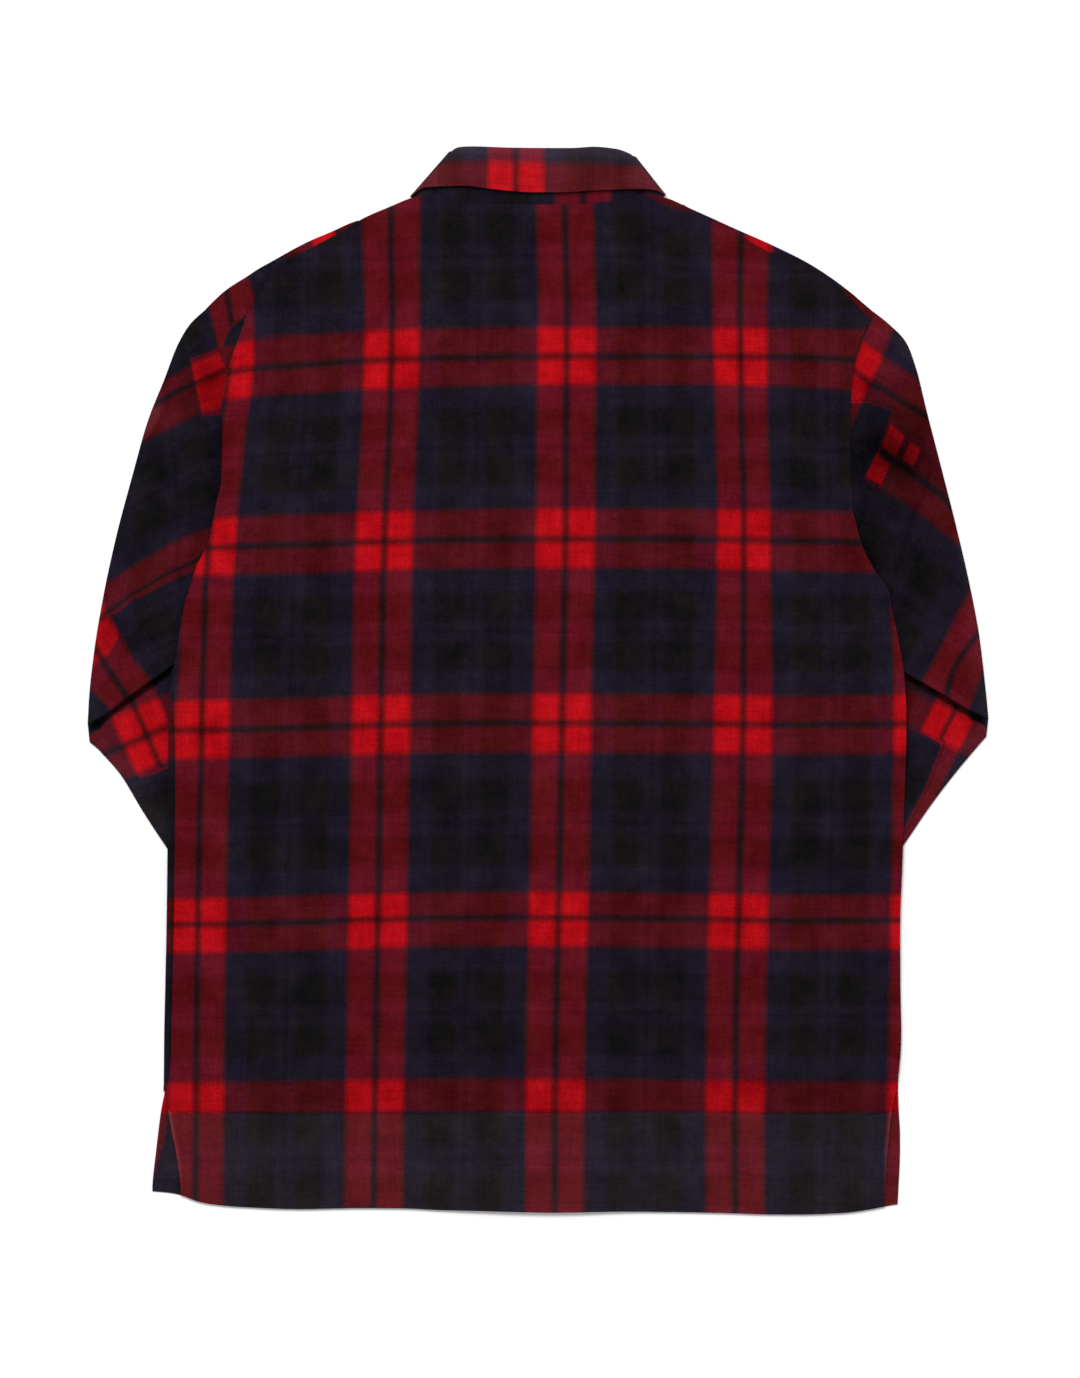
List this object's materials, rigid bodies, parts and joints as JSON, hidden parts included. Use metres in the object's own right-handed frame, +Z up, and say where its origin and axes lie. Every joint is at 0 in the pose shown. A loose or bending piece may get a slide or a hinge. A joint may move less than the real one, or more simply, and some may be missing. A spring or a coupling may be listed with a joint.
{
  "type": "shirt",
  "caption": "Long-sleeved plaid flannel shirt laid face down, back up, with pleated elbows and forearms tucked under the fronts.",
  "frame": {"origin": "on the table under the middle of the shirt's outline", "axes": "+Y from the hem to the collar, +X to the wearer's right, +Z up from the table"},
  "size_m": [0.7108, 0.8429, 0.0142],
  "materials": {
    "back_cloth": "brushed cotton twill",
    "front_left_cloth": "brushed cotton twill",
    "front_right_cloth": "brushed cotton twill",
    "placket_cloth": "brushed cotton twill",
    "sleeve_left_cloth": "brushed cotton twill",
    "sleeve_right_cloth": "brushed cotton twill",
    "cuff_left_cloth": "brushed cotton twill",
    "cuff_right_cloth": "brushed cotton twill",
    "collar_stand_cloth": "brushed cotton twill",
    "collar_leaf_cloth": "brushed cotton twill",
    "button_resin": "matte resin"
  },
  "bodies": {
    "root": {"back": "back_cloth", "front_left": "front_left_cloth", "front_right": "front_right_cloth", "placket": "placket_cloth", "sleeve_left": "sleeve_left_cloth", "sleeve_right": "sleeve_right_cloth", "cuff_left": "cuff_left_cloth", "cuff_right": "cuff_right_cloth", "collar_stand": "collar_stand_cloth", "collar_leaf": "collar_leaf_cloth", "button_stand": "button_resin", "button_front_1": "button_resin", "button_front_2": "button_resin", "button_front_3": "button_resin", "button_front_4": "button_resin", "button_front_5": "button_resin", "button_front_6": "button_resin", "button_cuff_left": "button_resin", "button_cuff_right": "button_resin"}
  },
  "joints": []
}
